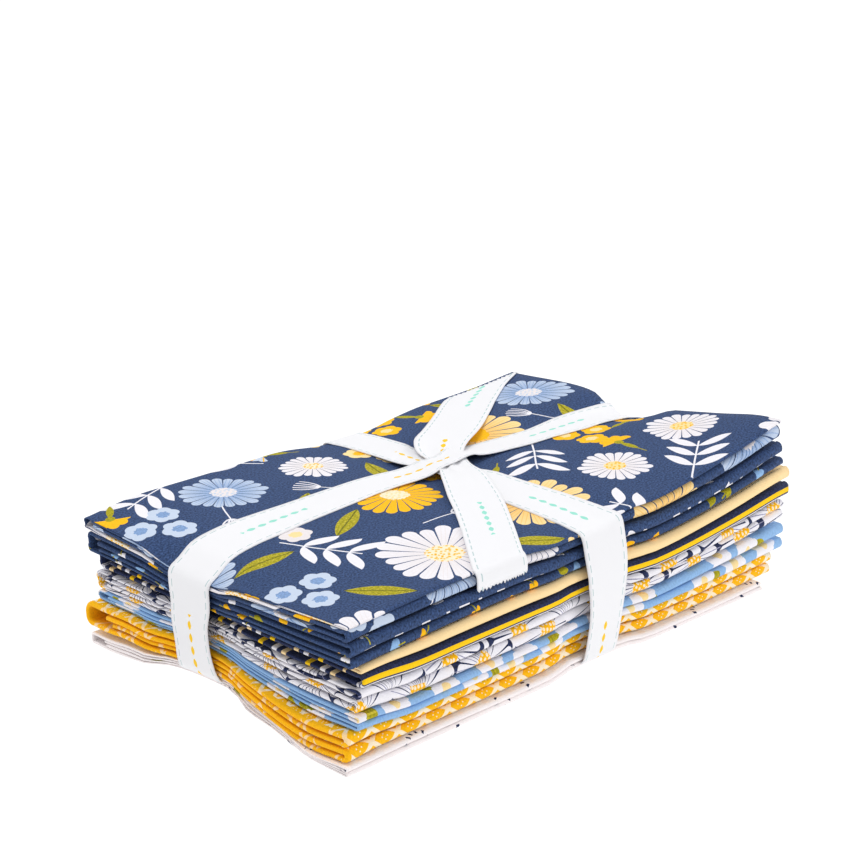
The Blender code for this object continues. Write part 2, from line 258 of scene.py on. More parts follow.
def long_band(x, y):
    """The lengthwise turn's sink. It trails off slowly at the left end. At the right end it is a
    narrow notch that trails off a little to the front."""
    right = smooth(x / HALF_LENGTH) ** 2
    shift, narrower, shorter = (share * right for share in RIGHT_NOTCH)
    away = np.abs(y - run_y(x) + shift)
    flat, fade = SINK_FLAT - narrower, SINK_FADE - shorter
    close = 1 - smooth((away - flat) / (fade - flat))
    trail = 0.5 * smooth(-x / HALF_LENGTH) ** 2 + 0.25 * right * (y < RIBBON_Y)
    return close * (1 - trail) + trail * (1 - smooth(away / TAIL))


def cross_band(x, y):
    """The crosswise turn's sink. It fades slowly, but sooner on the right at the front."""
    across = np.clip(y / HALF_DEPTH, -1, 1)
    away = x - RIBBON_X - np.where(across > 0, *CROSS_ASIDE) * across
    middle, more = CROSS_FADE_RIGHT
    fade = np.where(away > 0, middle + more * across, CROSS_FADE_LEFT)
    return 1 - smooth((np.abs(away) - CROSS_FLAT) / (fade - CROSS_FLAT))


def ramp(away, half, run):
    """0 in the middle, rising to 1 over the last run before the edge."""
    t = np.clip((abs(away) - half + run) / run, 0.0, 1.2)
    return t * t * (1.8 - 0.8 * t)


def height_table():
    """The heights of the top on a fine grid, with the bends between the given places softened."""
    along, across = (
        np.arange(edge, -edge + TABLE_STEP, TABLE_STEP) / MM for edge in TABLE_EDGE)
    rows = [np.interp(along, PLACES_ALONG, column) for column in zip(*TOP_HEIGHTS)]
    table = np.array([np.interp(across, PLACES_ACROSS, column) for column in zip(*rows)])
    for _ in range(TABLE_SOFTENED):
        wide = np.pad(table, 1, mode="edge")
        beside = wide[:-2, 1:-1] + wide[2:, 1:-1] + wide[1:-1, :-2] + wide[1:-1, 2:]
        table = (beside + 4 * table) / 8
    return table * MM


HEIGHT_TABLE = height_table()


def level_top(x, y):
    """How high the top would stand at a place without the ribbon."""
    i = np.clip((x - TABLE_EDGE[0]) / TABLE_STEP, 0, HEIGHT_TABLE.shape[0] - 1.001)
    j = np.clip((y - TABLE_EDGE[1]) / TABLE_STEP, 0, HEIGHT_TABLE.shape[1] - 1.001)
    i, j = np.broadcast_arrays(i, j)
    left, front = i.astype(int), j.astype(int)
    p, q = i - left, j - front
    near = HEIGHT_TABLE[left, front] * (1 - p) + HEIGHT_TABLE[left + 1, front] * p
    far = HEIGHT_TABLE[left, front + 1] * (1 - p) + HEIGHT_TABLE[left + 1, front + 1] * p
    return near * (1 - q) + far * q


def drift(seed, *places, size):
    """Even, slow unevenness between about -1 and 1, from a few waves."""
    dice = random.Random(seed)
    total = 0.0
    for octave in (1.0, 1.9, 3.3):
        phase = dice.uniform(0, 6.28)
        slope = sum(dice.uniform(-1, 1) * np.asarray(place) for place in places)
        total = total + np.sin(6.28 * octave * slope / size + phase) / octave
    return total / 1.8


def sinks(x, y):
    """How far the lengthwise and the crosswise turn press the top of the stack down."""
    right = rise(x, -20, 50)
    flat, edge, rounding = (
        left + (far - left) * right for left, far in (LONG_SINK, LONG_SINK_EDGE, LONG_ROUND))
    long_sink = flat + edge * ramp(x, HALF_LENGTH, SINK_RUN)
    long_sink = long_sink + rounding * ramp(x, HALF_LENGTH, EDGE_RUN)
    near_edge = np.where(y > 0, *CROSS_SINK_EDGE)
    cross_sink = CROSS_SINK + near_edge * ramp(y, HALF_DEPTH, SINK_RUN)
    cross_sink = cross_sink + CROSS_ROUND * ramp(y, HALF_DEPTH, EDGE_RUN)
    return long_sink * long_band(x, y), cross_sink * cross_band(x, y)


def lift_long(x):
    return np.where(x < 0, LIFT_LEFT, LIFT_RIGHT) * ramp(x, HALF_LENGTH, LIFT_RUN)


def lift_cross(y):
    return LIFT_CROSS * ramp(y, HALF_DEPTH, LIFT_RUN)


def underside(x, y):
    spread_wide = SINK_FADE + (LIFT_SPREAD - SINK_FADE) * smooth(-x / HALF_LENGTH)
    over_long = (UNDER_ROOM + lift_long(x)) * band(y - run_y(x), spread_wide)
    return over_long + (UNDER_ROOM + lift_cross(y)) * band(x - run_x(y))


def fan(x, y):
    """How much of the fan at the right front corner is felt at a place."""
    along = (x / HALF_LENGTH + 0.1) / 1.1
    forward = (0.8 - y / HALF_DEPTH) / 1.8
    return smooth(along) * smooth(forward)


def cut_floor_and_height(index, x, y):
    """Where the underside of a cut lies at a place, and how high the folded cut is there. The
    ribbon presses the upper cuts down and draws the lower ones up."""
    share, left = fan(x, y), rise(-x, 84, 26)
    heights = []
    for k, cut in enumerate(CUTS):
        height = cut.height + (cut.corner_height - cut.height) * share
        height = height + (cut.left_height - height) * left
        heights.append(height * (1 + 0.05 * drift(31 + k, x, y, size=150 * MM)))
    whole, total = level_top(x, y), sum(heights)
    long_sink, cross_sink = sinks(x, y)
    ends = []
    for count in (index, index + 1):
        part = sum(heights[:count]) / total
        pressed = whole * part - long_sink * part ** 2 - cross_sink * part ** 3.5
        low = math.exp(-(((count - 1.2) / 1.2) ** 2)) * min(count, 1)
        ends.append(pressed + underside(x, y) * (1 - part) ** 3 - droop(x, y) * low)
    return ends[0], ends[1] - ends[0]


def droop(x, y):
    """How far the low cuts hang over the cut underneath at the left end, or gape above it."""
    return rise(-x, 98, 14) * (DROOP_FRONT * bump(y, -53, 14) - GAPE_BACK * rise(y, 34, 20))


def hem_sag(x, y, floor):
    """How far the lowest cut sags beside the ribbon at the left end, but never to the table."""
    beside = SAG_BACK * bump(y, 42, 13) + SAG_FRONT * bump(y, -15, 9)
    return np.minimum(beside * rise(-x, 84, 26), SAG_MOST * floor)


def cloth_top(x, y):
    floor, height = cut_floor_and_height(len(CUTS) - 1, x, y)
    return floor + height - CREVICE


def spread(first, last, count):
    """Places from first to last, closer together towards both."""
    k = np.linspace(0, 1, count + 1)
    return first + (last - first) * (0.55 * k + 0.45 * (1 - np.cos(math.pi * k)) / 2)


def fold_line(cut):
    """The doubled cloth's middle line seen from its side, from one inner end to the other, as
    rows of y, share of the cut's height and half the room for that level as a share."""
    half_sheet = (NEST + 0.5) * cut.ply
    upper, lower = cut.upper, 1 - cut.upper
    front = -HALF_DEPTH + cut.slide_y + half_sheet
    back = HALF_DEPTH + cut.slide_y - half_sheet
    rows = []

    def level(start, end, share, room):
        for y in spread(start, end, cut.across)[1:-1]:
            rows.append((y, share, room))

    def turn(edge, out, reach, first, last, room, steps):
        middle, half = (first + last) / 2, (last - first) / 2
        full = (abs(half) + room) - (half_sheet + CREVICE) / cut.height
        grow = full / abs(half)
        for step in range(steps + 1):
            angle = math.pi * step / steps
            swell = 1 + (grow - 1) * math.sin(angle) ** 0.5 if 0 < step < steps else 1.0
            y = edge - out * reach * (1 - math.sin(angle))
            rows.append((y, middle - half * math.cos(angle) * swell, room))

    nose_up, nose_low = 0.5 * upper * cut.height, 0.5 * lower * cut.height
    wide = cut.turn * cut.height
    room = min(upper, lower) / 4
    level(back - cut.short, front + nose_up, lower + upper / 4, upper / 4)
    turn(front, -1, nose_up, lower + upper / 4, lower + 3 * upper / 4, upper / 4, 10)
    level(front + nose_up, back - wide, lower + 3 * upper / 4, upper / 4)
    turn(back, 1, wide, lower + 3 * upper / 4, lower / 4, room, 12)
    level(back - wide, front + nose_low, lower / 4, lower / 4)
    turn(front, -1, nose_low, lower / 4, 3 * lower / 4, lower / 4, 10)
    level(front + nose_low, back - 1.3 * cut.short, 3 * lower / 4, lower / 4)
    return np.array(rows)


def way_gone(points):
    """How far along a line each of its points comes."""
    return np.concatenate([[0.0], np.cumsum(np.linalg.norm(np.diff(points, axis=0), axis=1))])


def along_cloth(cut, line):
    """How far along the flat cloth each row of a fold line comes."""
    gone = way_gone(line[:, :2] * (1.0, cut.height))
    return gone * CUT_FLAT[1] / gone[-1]


def left_end(index, y):
    """Where a cut's folded left end lies."""
    away = (y - TUCK_MIDDLE) / np.where(y > TUCK_MIDDLE, *TUCK_REACH)
    tuck = TUCKED[index] * np.exp(-away * away)
    if index == 0:
        tuck = tuck + (1.0 + 3.0 * bump(y, -24, 24, power=4) + 1.5 * rise(y, 38, 10)) * MM
    return CUTS[index].slide_x - HALF_LENGTH + PULL_IN * band(y - RIBBON_Y) + tuck


def right_end(cut, y):
    return cut.slide_x + HALF_LENGTH - PULL_IN * band(y - run_y(HALF_LENGTH))


def cut_shape(index):
    """The doubled, folded cut as a grid of points and of flat places on the cloth. Rows follow
    the fold line. Columns run from the inner ply's raw edge, round the fold at the left end, to
    the outer ply's raw edge."""
    cut = CUTS[index]
    line = fold_line(cut)
    y, share, room = line.T[:, :, None]
    v = along_cloth(cut, line)[:, None]

    left = left_end(index, y) + RAGGED_LEFT * drift(51 + index, v, size=130 * MM)
    right = right_end(cut, y) + RAGGED_RIGHT * drift(61 + index, v, size=90 * MM)
    if index == 0:
        right = right - LOW_SHORT * rise(-y, -30, 60)

    share_along = np.linspace(0, 1, cut.along + 1)[None, :] ** 1.35
    floor, height = cut_floor_and_height(index, left, y)
    slack = cut.slack + SLACK_VARIES * drift(91 + index, v, size=200 * MM)
    nest = NEST * cut.ply
    swell = np.maximum((room * height - cut.ply / 2 - CREVICE) * slack, 0.6 * nest)
    x = left + swell + (right - left - swell) * share_along

    near_edge = smooth(ramp(y, HALF_DEPTH, 0.2 * HALF_DEPTH))
    y = y - np.sign(y) * PULL_IN * near_edge * band(x - run_x(y))
    wander = RAGGED_ACROSS * drift(71 + index, x, np.round(share * 4) * 0.1, size=110 * MM)
    y = y + wander * smooth((np.abs(y) - 0.8 * HALF_DEPTH) / (0.2 * HALF_DEPTH)) * np.sign(-y)
    floor, height = cut_floor_and_height(index, x, y)
    if index == 0:
        height = height * (1 - LOW_THIN * rise(-x, 80, 30) * rise(y, 24, 24))
        sag = hem_sag(x, y, floor)
        floor, height = floor - sag, height + sag
    if cut.name == "stripe":
        # the upper fold tapers towards the left front corner
        lower = 1 - cut.upper
        thinner = np.where(share < lower, share / lower, (1 - share) / cut.upper)
        share = share + STRIPE_TAPER * rise(-x, 74, 30) * thinner
    middle = np.stack([x, y + 0 * x, floor + share * height], axis=-1)
    grid = both_plies(middle, x - left - swell, nest, swell)

    u = x - x[:, :1] + END_FOLD
    turn_u = np.linspace(-END_FOLD, END_FOLD, END_FOLD_POINTS)[None, 1:-1] + 0 * v
    flat = np.concatenate([-u[:, ::-1], turn_u, u], axis=1)
    return grid, flat, v + 0 * flat


def both_plies(middle, reach, nest, swell):
    """The inner ply, the fold round the left end and the outer ply, from the middle between the
    plies and how far each point of it is from that fold."""
    across = np.gradient(middle, axis=0)
    along = np.gradient(middle, axis=1)
    out = np.cross(along, across)
    out /= np.linalg.norm(out, axis=-1, keepdims=True)
    along /= np.linalg.norm(along, axis=-1, keepdims=True)
    offset = nest + (swell - nest) * np.exp(-((reach / END_FOLD_REACH) ** 2))
    outer = middle + out * offset[..., None]
    inner = middle - out * offset[..., None]
    turns = []
    for angle in np.linspace(-90, 90, END_FOLD_POINTS)[1:-1] * math.pi / 180:
        rising = swell[..., None] * math.sin(angle)
        back = swell[..., None] * math.cos(angle)
        turns.append(middle[:, :1] + out[:, :1] * rising - along[:, :1] * back)
    return np.concatenate([inner[:, ::-1], *turns, outer], axis=1)


def squares_of(grid):
    """The four corners of each square of a grid."""
    return np.stack([grid[:-1, :-1], grid[:-1, 1:], grid[1:, 1:], grid[1:, :-1]], axis=2)


def put_in(name, data):
    made = bpy.data.objects.new(name, data)
    bpy.context.scene.collection.objects.link(made)
    return made


def new_mesh(name, grid, u, v, closed=False):
    """A sheet through a grid of points, with its flat places in the UV map called cloth."""
    rows, columns = grid.shape[:2]
    index = np.arange(rows * columns).reshape(rows, columns)
    flat = np.stack([u, v], axis=-1)
    if closed:
        index = np.concatenate([index, index[:1]])
        once_round = 2 * flat[-1:] - flat[-2:-1]
        flat = np.concatenate([flat, once_round])
    mesh = bpy.data.meshes.new(name)
    mesh.from_pydata(grid.reshape(-1, 3).tolist(), [], squares_of(index).reshape(-1, 4).tolist())
    layer = mesh.uv_layers.new(name="cloth")
    layer.data.foreach_set("uv", squares_of(flat).reshape(-1).astype(np.float32))
    return put_in(name, mesh)


def thicken(piece, thickness):
    bpy.ops.object.select_all(action="DESELECT")
    piece.select_set(True)
    bpy.context.view_layer.objects.active = piece
    wall = piece.modifiers.new("Thickness", "SOLIDIFY")
    wall.thickness = thickness
    wall.offset = 0.0
    wall.use_even_offset = False
    bpy.ops.object.modifier_apply(modifier=wall.name)
    bpy.ops.object.shade_smooth()


def linear(*screen):
    """A colour as it looks on a screen, from 0 to 255, as the shader wants it."""
    shares = [value / 255 for value in screen]
    return (*[s / 12.92 if s <= 0.04045 else ((s + 0.055) / 1.055) ** 2.4 for s in shares], 1.0)


NAVY = linear(52, 73, 113)
INK = linear(38, 48, 84)
WHITE = linear(240, 238, 244)
SHELL = linear(234, 227, 228)
PEACH = linear(252, 223, 160)
APRICOT = linear(254, 222, 166)
AMBER = linear(245, 190, 100)
MUSTARD = linear(253, 187, 6)
YELLOW = linear(250, 192, 12)
SUN = linear(252, 204, 10)
PERIWINKLE = linear(199, 212, 232)
CORNFLOWER = linear(130, 160, 204)
SKY = linear(144, 184, 228)
MAUVE = linear(196, 184, 194)
LILAC = linear(150, 150, 178)
OLIVE = linear(168, 158, 22)
MOSS = linear(120, 118, 20)
LIME = linear(196, 182, 62)
RIB_LIME = linear(206, 190, 60)
CREAM = linear(252, 236, 206)
BLUSH = linear(250, 243, 243)
AQUA = linear(150, 226, 208)
THREAD = linear(188, 208, 210)
RIBBON = linear(240, 240, 243)


def by_node(operation):
    """An operator between the numbers of a print, worked out by a math node."""
    return lambda self, other=None: self.draft.math(operation, self, other)


class Value:
    """A number that differs from place to place on a print. Formulas with it make nodes. Masks
    are 0 or 1, & keeps what both of them hold and | what either holds."""

    def __init__(self, draft, socket):
        self.draft = draft
        self.socket = socket

    def __rsub__(self, other):
        return self.draft.math("SUBTRACT", other, self)

    __add__ = by_node("ADD")
    __sub__ = by_node("SUBTRACT")
    __mul__ = by_node("MULTIPLY")
    __truediv__ = by_node("DIVIDE")
    __mod__ = by_node("FLOORED_MODULO")
    __lt__ = by_node("LESS_THAN")
    __gt__ = by_node("GREATER_THAN")
    __and__ = by_node("MULTIPLY")
    __or__ = by_node("MAXIMUM")
    __abs__ = by_node("ABSOLUTE")
    __round__ = by_node("ROUND")


class Draft:
    """A print drafted in the nodes of one material, painted layer by layer over its first colour.
    Lengths are in millimetres of flat cloth."""

    def __init__(self, name, colour):
        self.colour = colour
        self.material = bpy.data.materials.new(name)
        self.material.use_nodes = True
        self.tree = self.material.node_tree
        self.shader = self.tree.nodes["Principled BSDF"]
        cloth = self.node("UVMap", uv_map="cloth")
        self.place = self.vector("SCALE", cloth.outputs[0], scale=1000.0)

    def feed(self, socket, value):
        if isinstance(value, Value):
            value = value.socket
        if isinstance(value, bpy.types.NodeSocket):
            self.tree.links.new(value, socket)
        elif value is not None:
            socket.default_value = value

    def node(self, kind, *values, **settings):
        """A new node with its settings, and with values fed to its first sockets."""
        made = self.tree.nodes.new("ShaderNode" + kind)
        for setting, value in settings.items():
            setattr(made, setting, value)
        for socket, value in zip(made.inputs, values):
            self.feed(socket, value)
        return made

    def math(self, operation, *values):
        return Value(self, self.node("Math", *values, operation=operation).outputs[0])

    def vector(self, operation, *values, scale=None):
        made = self.node("VectorMath", *values, operation=operation)
        if scale is not None:
            self.feed(made.inputs["Scale"], scale)
        if operation in ("LENGTH", "DOT_PRODUCT"):
            return Value(self, made.outputs["Value"])
        return made.outputs["Vector"]

    def parts(self, vector):
        """The x and y of a place, and the third number that it carries."""
        return [Value(self, part) for part in self.node("SeparateXYZ", vector).outputs]

    def joined(self, x, y):
        return self.node("CombineXYZ", x, y, 0.0).outputs[0]

    def mix(self, share, first, second, kind="RGBA"):
        at, out = {"FLOAT": (2, 0), "VECTOR": (4, 1), "RGBA": (6, 2)}[kind]
        made = self.node("Mix", share, data_type=kind)
        self.feed(made.inputs[at], first)
        self.feed(made.inputs[at + 1], second)
        return made.outputs[out]

    def fraction(self, value):
        return self.math("FRACT", value)

    def paint(self, mask, colour):
        self.colour = self.mix(mask, self.colour, colour)

    def noise(self, place, scale, detail=2.0):
        made = self.node("TexNoise", place)
        made.inputs["Scale"].default_value = scale
        made.inputs["Detail"].default_value = detail
        return Value(self, made.outputs[0])

    def cells(self, place, scale, randomness=1.0):
        """Voronoi cells: how far the nearest point is, its own colour, and its place."""
        made = self.node("TexVoronoi", place, voronoi_dimensions="2D")
        made.inputs["Scale"].default_value = scale
        made.inputs["Randomness"].default_value = randomness
        return Value(self, made.outputs["Distance"]), made.outputs["Color"], made.outputs["Position"]

    def chance(self, number, salt):
        """A number between 0 and 1 that goes with a spot's own number."""
        made = self.node("TexWhiteNoise", noise_dimensions="1D")
        self.feed(made.inputs["W"], number + salt)
        return Value(self, made.outputs[0])

    def choose(self, share, *colours):
        """One of some colours, by a share from 0 to 1."""
        made = self.node("ValToRGB", share)
        made.color_ramp.interpolation = "CONSTANT"
        elements = made.color_ramp.elements
        while len(elements) < len(colours):
            elements.new(0.5)
        for k, colour in enumerate(colours):
            elements[k].position = k / len(colours)
            elements[k].color = colour
        return made.outputs[0]

    def turned(self, place, angle):
        made = self.node("VectorRotate", place, rotation_type="Z_AXIS")
        self.feed(made.inputs["Angle"], angle)
        return made.outputs[0]

    def moved(self, place, x):
        return self.vector("ADD", place, (x, 0, 0))

    def polar(self, place):
        x, y, _ = self.parts(place)
        return self.vector("LENGTH", self.joined(x, y)), self.math("ARCTAN2", y, x)

    def nearest(self, spots):
        """From the nearest of the floral print's spots (x, y, own number), as a place beside it and
        that spot's number."""
        half = (FLORAL_REPEAT[0] / 2, FLORAL_REPEAT[1] / 2, 1.0)
        best = best_far = None
        for x, y, number in spots:
            away = self.vector("SUBTRACT", self.place, (x, y, number * 1e-3))
            away = self.vector("WRAP", away, half, tuple(-h for h in half))
            far = self.vector("LENGTH", away)
            if best is None:
                best, best_far = away, far
            else:
                best = self.mix(far < best_far, best, away, "VECTOR")
                best_far = self.math("MINIMUM", far, best_far)
        return best, round(self.parts(best)[2] * -1e3)

    def rows(self, noses, gap, pitch, seed, turn):
        """From the nearest spot of rows that run along both front folds, as a place beside it,
        turned by its own number, and that number."""
        upper, lower = noses
        gap = (lower - upper) / round((lower - upper) / gap)
        x, y, _ = self.parts(self.place)
        line = round((y - upper) / gap)
        x = self.chance(line, seed) * pitch + x
        spot = round(x / pitch)
        number = line * 57.0 + spot
        shift_x = self.chance(number, seed + 1.3) * (0.3 * pitch) - 0.15 * pitch
        shift_y = self.chance(number, seed + 2.6) * (0.24 * gap) - 0.12 * gap
        beside = self.joined(x - spot * pitch + shift_x, y - upper - line * gap + shift_y)
        return self.turned(beside, number * turn), number

    def daisy(self, place, number, radius, petals, fat, uneven=0.16):
        """Long round-ended petals about a middle. Gives how far each point is inside its petal,
        how far out it is, how far it is from the petal's own middle line, and a chance of the
        petal's own."""
        far, angle = self.polar(place)
        sector = 2 * math.pi / petals
        count = angle / sector + self.chance(number, 3.1)
        petal = round(count)
        aside = abs(count - petal) * sector * far
        own = self.chance(number * 37.0 + petal % float(petals), 0.7)
        length = (own * -uneven + 1.0) * radius
        wide = length * (fat * sector)
        root = length - wide
        past = self.math("MAXIMUM", far - root, 0.0)
        widen = self.math("MINIMUM", far / root, 1.0)
        limit = (widen * 0.97 + 0.03) * wide
        return limit - self.vector("LENGTH", self.joined(aside, past)), far, aside, own

    def blossom(self, place, radius, petals, depth):
        """How far inside a small flat flower with a scalloped edge, and how far out."""
        far, angle = self.polar(place)
        wave = abs(self.math("COSINE", angle * (petals / 2)))
        return wave * (depth * 2 * radius) + radius * (1 - 2 * depth) - far, far

    def swell(self, t, width):
        """Half the width of a pointed leaf at a share of its length."""
        return t * (1.0 - t) * (4 * width)

    def leaf(self, place, length, width):
        """How far inside a pointed leaf along x, and how far from its rib."""
        x, y, _ = self.parts(place)
        return self.swell(x / length, width) - abs(y), abs(y)

    def sprig(self, place, length, leaves, leaf_length, leaf_width, lean=0.75):
        """A mask for a stem along x with pairs of leaves."""
        x, y, _ = self.parts(place)
        aside = abs(y)
        pitch = length / leaves
        back = x - aside * lean
        along = self.math("MODULO", back, pitch) - pitch / 2
        leafy = abs(along) < self.swell(aside / leaf_length, leaf_width)
        stem = (aside < 0.35) & (abs(x - length * 0.4) < length * 0.62)
        return (back < length) & (back > 0.0) & leafy | stem

    def seed_head(self, place, reach, spokes):
        """A mask for thin spokes that open about +x from a stem along -x."""
        far, angle = self.polar(place)
        opening = far * -0.07 + 1.25
        pitch = opening / (spokes / 2)
        count = angle / pitch
        off = abs(count - round(count)) * pitch * far
        spoke = (abs(angle) < opening + 0.05) & (far < reach) & (off < 0.36)
        x, y, _ = self.parts(place)
        return spoke | (abs(y) < 0.28) & (abs(x + 7.0) < 7.2)

    def bumped(self, height, deep):
        """Gives the surface a fine relief, so many metres deep."""
        bump = self.node("Bump")
        bump.inputs["Strength"].default_value = 0.25
        bump.inputs["Distance"].default_value = deep
        self.feed(bump.inputs["Height"], height)
        self.feed(self.shader.inputs["Normal"], bump.outputs[0])

    def ripple(self, place, pitch):
        return self.math("SINE", place * (2 * math.pi / pitch))

    def cotton(self):
        """Finishes the cloth: uneven threads, a plain weave's bump and a dull surface."""
        grain = self.noise(self.place, 1.35, 4.0)
        slow = self.noise(self.place, 0.05)
        bright = self.math("MAXIMUM", slow * 0.10 + (grain * 3.8 - 0.95), 0.25)
        # pale prints show less of the threads than dark ones
        pale = self.vector("DOT_PRODUCT", self.colour, (0.3, 0.4, 0.3))
        calm = self.math("MINIMUM", pale * 1.7, 0.96)
        bright = self.mix(calm, bright, 1.0, "FLOAT")
        colour = self.vector("SCALE", self.colour, scale=bright)
        self.feed(self.shader.inputs["Base Color"], colour)
        x, y, _ = self.parts(self.place)
        weave = self.ripple(x, THREAD_PITCH) * self.ripple(y, THREAD_PITCH)
        self.bumped(grain * 0.12 + weave, 0.00012)
        self.feed(self.shader.inputs["Roughness"], grain * 0.15 + 0.78)
        self.shader.inputs["Specular IOR Level"].default_value = 0.2
        self.shader.inputs["Sheen Weight"].default_value = 0.04
        self.shader.inputs["Sheen Roughness"].default_value = 0.5
        return self.material


def scatter(dice, taken, count, radius):
    """Spots for motifs in the floral print, each in the emptiest of many places. The radius is a
    rule that gives it from the spot's own number."""
    wide, tall = FLORAL_REPEAT
    spots = []
    for number in range(1, count + 1):
        size = radius(number)

        def room(spot):
            clear = [1e3]
            for x, y, own in taken:
                across = (spot[0] - x + wide / 2) % wide - wide / 2
                up = (spot[1] - y + tall / 2) % tall - tall / 2
                clear.append(math.hypot(across, up) - own - size)
            return min(clear)

        tries = [(dice.uniform(0, wide), dice.uniform(0, tall)) for _ in range(400)]
        best = max(tries, key=room)
        taken.append((*best, size))
        spots.append((*best, number))
    return spots


def navy_floral(draft, noses):
    """Large daisies, small blossoms, leafy sprigs, leaves, seed heads and buds on navy."""
    small, larger, step = DAISY_SIZES
    dice, taken = random.Random(12), []
    daisies = scatter(dice, taken, 13, lambda number: small + larger * (number * step % 1.0))
    clusters, sprigs, leaves, heads, buds = [
        scatter(dice, taken, count, lambda number: radius)
        for count, radius in ((8, 12), (6, 11), (10, 8), (6, 8), (6, 7))]

    def spun(spots, turn, start=0.0):
        beside, number = draft.nearest(spots)
        return draft.turned(beside, number * turn + start), number

    beside, _ = spun(leaves, 2.4)
    inside, aside = draft.leaf(draft.moved(beside, 12), 25.0, 3.8)
    green = draft.mix(draft.noise(draft.place, 1.1, 1.0) > 0.58, OLIVE, LIME)
    green = draft.mix(aside < 0.35, green, MOSS)
    draft.paint(inside > 0.0, green)

    beside, _ = spun(sprigs, 1.7, 0.6)
    draft.paint(draft.sprig(draft.moved(beside, 15), 26.0, 3, 12.0, 2.9), WHITE)

    beside, _ = spun(heads, 2.1)
    draft.paint(draft.seed_head(beside, 10.0, 5), WHITE)

    beside, number = spun(buds, 1.3, 0.9)
    inside, _ = draft.leaf(draft.moved(beside, 11), 10.5, 1.5)
    x, y, _ = draft.parts(beside)
    stem = (abs(y) < 0.3) & (x < 0.0) & (x > -15.0)
    draft.paint(stem | (inside > 0.0), OLIVE)
    inside, out, aside, _ = draft.daisy(beside, number, 8.0, 9, 0.46, 0.06)
    tone = draft.choose(draft.chance(number, 4.0), CREAM, YELLOW, PERIWINKLE)
    tone = draft.mix((aside < 0.3) & (out > 2.6), tone, MUSTARD)
    draft.paint((inside > 0.0) & (x > 0.6), tone)
    draft.paint(out < 1.9, OLIVE)

    # three blossoms about each spot
    beside, number = draft.nearest(clusters)
    far, angle = draft.polar(beside)
    third = 2 * math.pi / 3
    own = angle - draft.chance(number, 9.0)
    own = own - round(own / third) * third
    x, y = draft.math("COSINE", own) * far - 8.0, draft.math("SINE", own) * far
    inside, out = draft.blossom(draft.joined(x, y), 6.4, 6, 0.09)
    share = draft.chance(number, 5.0)
    tone = draft.choose(share, PEACH, SHELL, PERIWINKLE, YELLOW, SHELL)
    draft.paint(inside > 0.0, tone)
    heart = draft.choose(share, MUSTARD, MAUVE, CORNFLOWER, PEACH, PEACH)
    draft.paint(out < draft.noise(beside, 0.9) * 2.2 + 1.4, heart)

    beside, number = draft.nearest(daisies)
    radius = draft.fraction(number * step) * larger + small
    inside, out, aside, _ = draft.daisy(beside, number, radius, 20, 0.385)
    share = draft.math("MODULO", number * 3.0, 5.0) * 0.2 + 0.01
    tone = draft.choose(share, WHITE, PERIWINKLE, YELLOW, PEACH, WHITE)
    base = draft.choose(share, SHELL, CORNFLOWER, MUSTARD, AMBER, SHELL)
    streak = abs(aside - 0.75) < 0.16
    deep = streak * 0.5 + draft.math("MAXIMUM", 1.0 - out / radius, 0.0)
    tone = draft.mix(draft.math("MINIMUM", deep, 1.0), tone, base)
    draft.paint(inside > 0.0, tone)
    core = out / radius < draft.noise(beside, 0.6) * 0.16 + 0.20
    draft.paint(core, draft.choose(share, PEACH, SHELL, CREAM, MUSTARD, CREAM))
    seed, _, _ = draft.cells(beside, 0.62)
    tone = draft.choose(share, MUSTARD, PERIWINKLE, PEACH, YELLOW, MUSTARD)
    draft.paint(core & (seed < 0.30), tone)


def navy_tulip(draft, noses):
    """Small buds scattered on navy."""
    _, own, spot = draft.cells(draft.place, 1 / 14.0, 0.6)
    turn, kind, _ = draft.parts(own)
    beside = draft.turned(draft.vector("SUBTRACT", draft.place, spot), turn * 6.28)
    x, y, _ = draft.parts(beside)
    far = draft.vector("LENGTH", draft.joined(x, abs(x) * 0.9 + y))
    draft.paint(far < 2.1, draft.choose(kind, WHITE, MUSTARD, SKY, OLIVE, WHITE))
    draft.paint((abs(x) < 0.25) & (abs(y + 3.4) < 1.6), OLIVE)
    # a broken white line under the upper fold
    along, up, _ = draft.parts(draft.place)
    broken = draft.noise(draft.joined(along, 0.0), 0.16, 0.0) > 0.55
    line = abs(up - (noses[0] - 1.1)) < 0.28
    draft.paint(line & broken, WHITE)


def striped(draft, noses):
    """Bands along the stack in peach, navy, yellow and white, placed by the two front folds."""
    upper, lower = noses
    x, y, _ = draft.parts(draft.place)
    share = draft.fraction((y - (upper - 8.0)) / 24.0)
    draft.colour = draft.choose(share, INK, INK, SUN, INK, INK, WHITE, INK, APRICOT, INK, INK)
    draft.paint(abs(y - upper) < 8.0, APRICOT)
    dash = draft.fraction(x / 1.7) < 0.55
    draft.paint((abs(y - upper - 2.8) < 0.2) & dash, INK)
    down = lower - y
    bands = INK
    for start, tone in ((-0.9, SUN), (0.45, INK), (1.0, WHITE), (1.9, INK), (2.4, WHITE), (4.0, INK)):
        bands = draft.mix(down > start, bands, tone)
    draft.paint(abs(down) < 9.0, bands)


def white_daisy(draft, noses):
    """White daisies with navy between their petals, and mustard honeycomb squares for middles."""
    beside, number = draft.rows(noses, 25.0, 29.0, 4.2, 0.9)
    radius = draft.chance(number, 6.0) * 4.0 + 15.0
    inside, out, aside, own = draft.daisy(beside, number, radius, 17, 0.385, 0.30)
    ground = out < radius * 0.93
    draft.paint(ground, INK)
    draft.paint(inside > 0.05, WHITE)
    draft.paint((aside < 0.13) & (own > 0.45) & ground, LILAC)
    x, y, _ = draft.parts(beside)
    core = ((abs(x) | abs(y)) < 3.6) & (draft.chance(number, 3.3) < 0.8)
    draft.paint(core, CREAM)
    seed, _, _ = draft.cells(beside, 0.62, 0.35)
    draft.paint(core & (seed > 0.33), MUSTARD)


